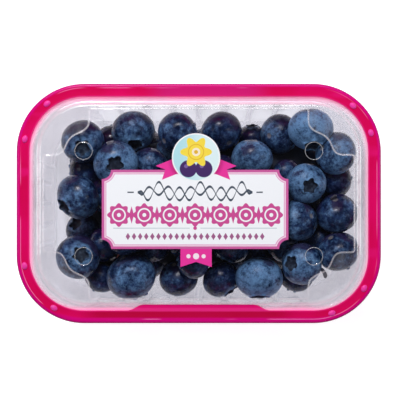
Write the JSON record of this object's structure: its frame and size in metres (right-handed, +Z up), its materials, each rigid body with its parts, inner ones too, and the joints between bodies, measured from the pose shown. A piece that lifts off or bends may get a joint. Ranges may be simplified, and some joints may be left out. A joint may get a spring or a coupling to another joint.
{
  "type": "punnet of blueberries",
  "caption": "Shut clear plastic punnet of blueberries with a fluted tray, a pink clip-on rim, a vented clear lid and a die-cut sticker.",
  "frame": {"origin": "middle of the outline at the underside of the tray", "axes": "+X along the long side, to the right as the sticker reads, +Y to the back, +Z up through the lid"},
  "size_m": [0.15, 0.0986, 0.0424],
  "materials": {
    "tray_plastic": "clear thermoformed sheet",
    "rim_plastic": "glossy hot pink, a little translucent at its edges",
    "lid_plastic": "clear thermoformed sheet",
    "sticker_paper": "satin coated paper with simple pink, blue and yellow shapes",
    "berry_skin": "dark blue skin under a patchy waxy bloom"
  },
  "bodies": {
    "root": {"tray": "tray_plastic", "rim": "rim_plastic", "lid": "lid_plastic", "sticker": "sticker_paper", "berries": "berry_skin"}
  },
  "joints": []
}
